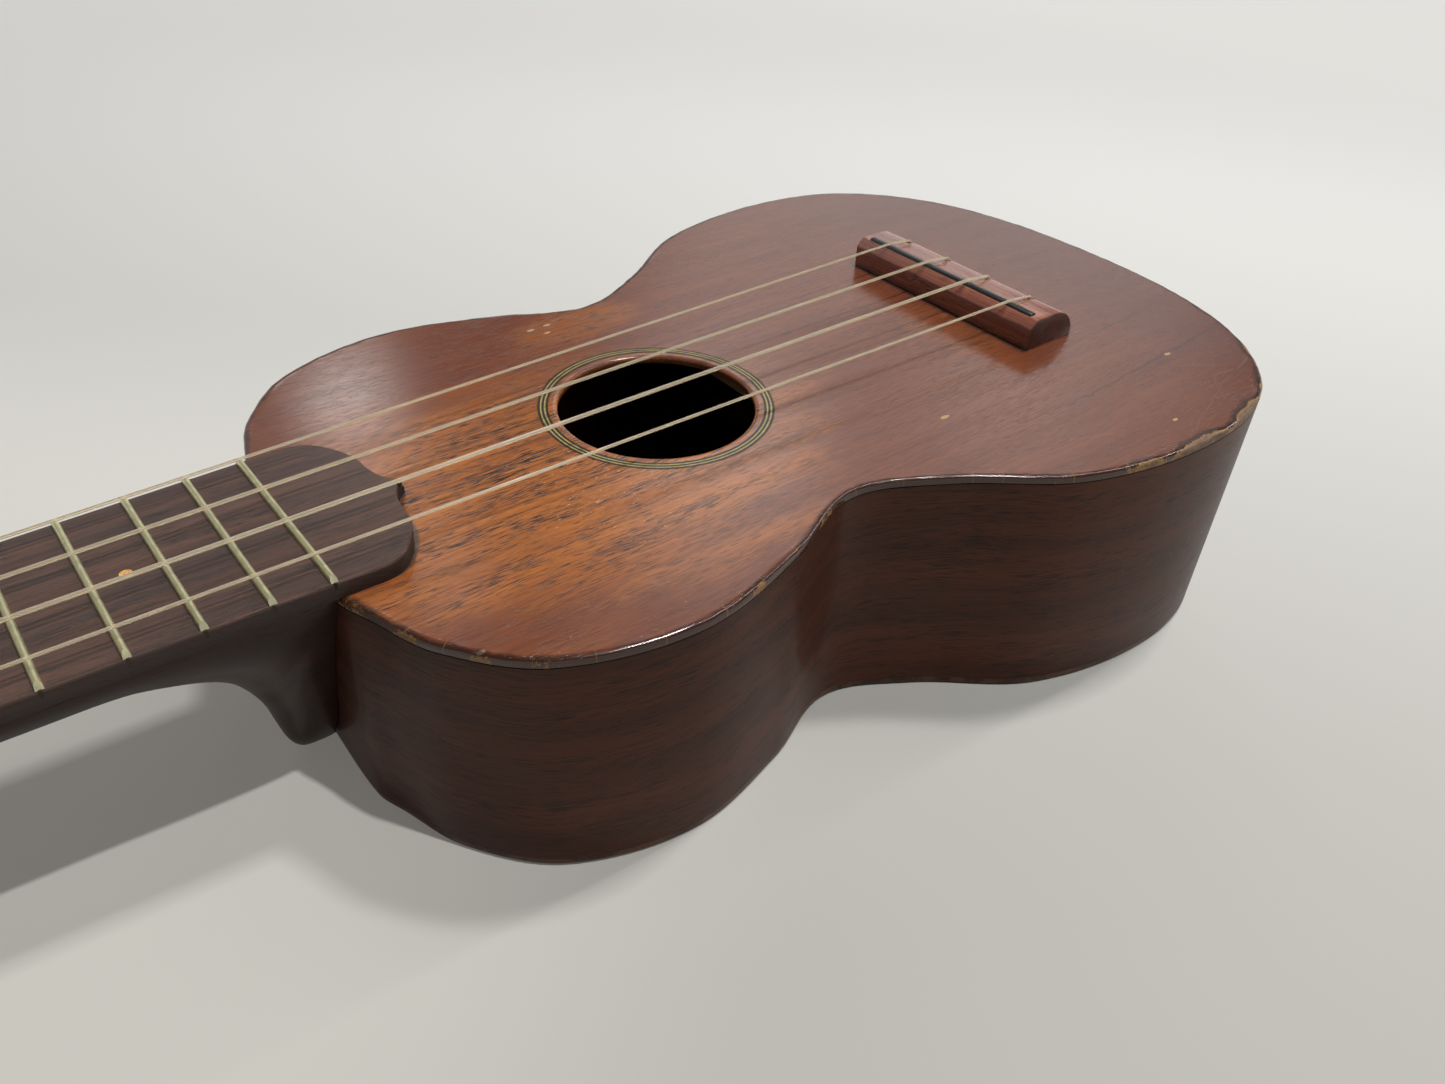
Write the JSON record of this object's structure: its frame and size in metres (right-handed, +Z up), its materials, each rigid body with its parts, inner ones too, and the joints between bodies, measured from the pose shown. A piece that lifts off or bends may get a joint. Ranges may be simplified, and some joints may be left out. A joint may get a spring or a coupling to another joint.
{
  "type": "soprano ukulele",
  "caption": "Soprano ukulele: waisted hollow wooden body with a round sound hole and a bridge, fretted neck, nylon strings and friction tuning pegs.",
  "frame": {"origin": "on the table, under the middle of the whole instrument's box; the flat back rests on Z = 0", "axes": "+X from the headstock towards the tail, +Y towards the treble side, +Z up from the back to the strings"},
  "size_m": [0.5278, 0.1598, 0.0709],
  "materials": {
    "soundboard_wood": "satin",
    "body_wood": "satin",
    "neck_wood": "satin",
    "fingerboard_wood": "satin",
    "bridge_wood": "satin",
    "ebony": "satin",
    "inlay": "satin",
    "inner_wood": "matte",
    "brace_wood": "matte",
    "fret_metal": "satin",
    "tuner_metal": "satin",
    "button_plastic": "gloss",
    "pearl": "gloss",
    "nylon": "gloss"
  },
  "bodies": {
    "instrument": {"soundboard": "soundboard_wood", "rosette": "inlay", "back_plate": "body_wood", "side_bass": "body_wood", "side_treble": "body_wood", "lining_top_bass": "inner_wood", "lining_top_treble": "inner_wood", "lining_back_bass": "inner_wood", "lining_back_treble": "inner_wood", "neck_block": "inner_wood", "tail_block": "inner_wood", "top_brace_upper": "brace_wood", "top_brace_lower": "brace_wood", "back_brace_upper": "brace_wood", "back_brace_lower": "brace_wood", "bridge_plate": "inner_wood", "bridge": "bridge_wood", "saddle": "ebony", "neck": "neck_wood", "fingerboard": "fingerboard_wood", "nut": "ebony", "fret_01": "fret_metal", "fret_02": "fret_metal", "fret_03": "fret_metal", "fret_04": "fret_metal", "fret_05": "fret_metal", "fret_06": "fret_metal", "fret_07": "fret_metal", "fret_08": "fret_metal", "fret_09": "fret_metal", "fret_10": "fret_metal", "fret_11": "fret_metal", "fret_12": "fret_metal", "marker_fret_5": "pearl", "marker_fret_7": "pearl", "marker_fret_10": "pearl", "string_g": "nylon", "string_c": "nylon", "string_e": "nylon", "string_a": "nylon", "tuner_bushing_g": "tuner_metal", "tuner_bushing_c": "tuner_metal", "tuner_bushing_e": "tuner_metal", "tuner_bushing_a": "tuner_metal"},
    "peg_g": {"tuner_post_g": "tuner_metal", "tuner_button_g": "button_plastic", "tuner_screw_g": "tuner_metal", "winding_g": "nylon"},
    "peg_c": {"tuner_post_c": "tuner_metal", "tuner_button_c": "button_plastic", "tuner_screw_c": "tuner_metal", "winding_c": "nylon"},
    "peg_e": {"tuner_post_e": "tuner_metal", "tuner_button_e": "button_plastic", "tuner_screw_e": "tuner_metal", "winding_e": "nylon"},
    "peg_a": {"tuner_post_a": "tuner_metal", "tuner_button_a": "button_plastic", "tuner_screw_a": "tuner_metal", "winding_a": "nylon"}
  },
  "joints": [
    {"name": "peg_g_turn", "type": "hinge", "parent": "instrument", "child": "peg_g", "pos_m": [-0.18669, -0.018, 0.03734], "axis": [-0.1417, 0, 0.9899], "continuous": true, "deforming": ["winding_g"]},
    {"name": "peg_c_turn", "type": "hinge", "parent": "instrument", "child": "peg_c", "pos_m": [-0.22629, -0.0205, 0.03167], "axis": [-0.1417, 0, 0.9899], "continuous": true, "deforming": ["winding_c"]},
    {"name": "peg_e_turn", "type": "hinge", "parent": "instrument", "child": "peg_e", "pos_m": [-0.22629, 0.0205, 0.03167], "axis": [-0.1417, 0, 0.9899], "continuous": true, "deforming": ["winding_e"]},
    {"name": "peg_a_turn", "type": "hinge", "parent": "instrument", "child": "peg_a", "pos_m": [-0.18669, 0.018, 0.03734], "axis": [-0.1417, 0, 0.9899], "continuous": true, "deforming": ["winding_a"]}
  ]
}
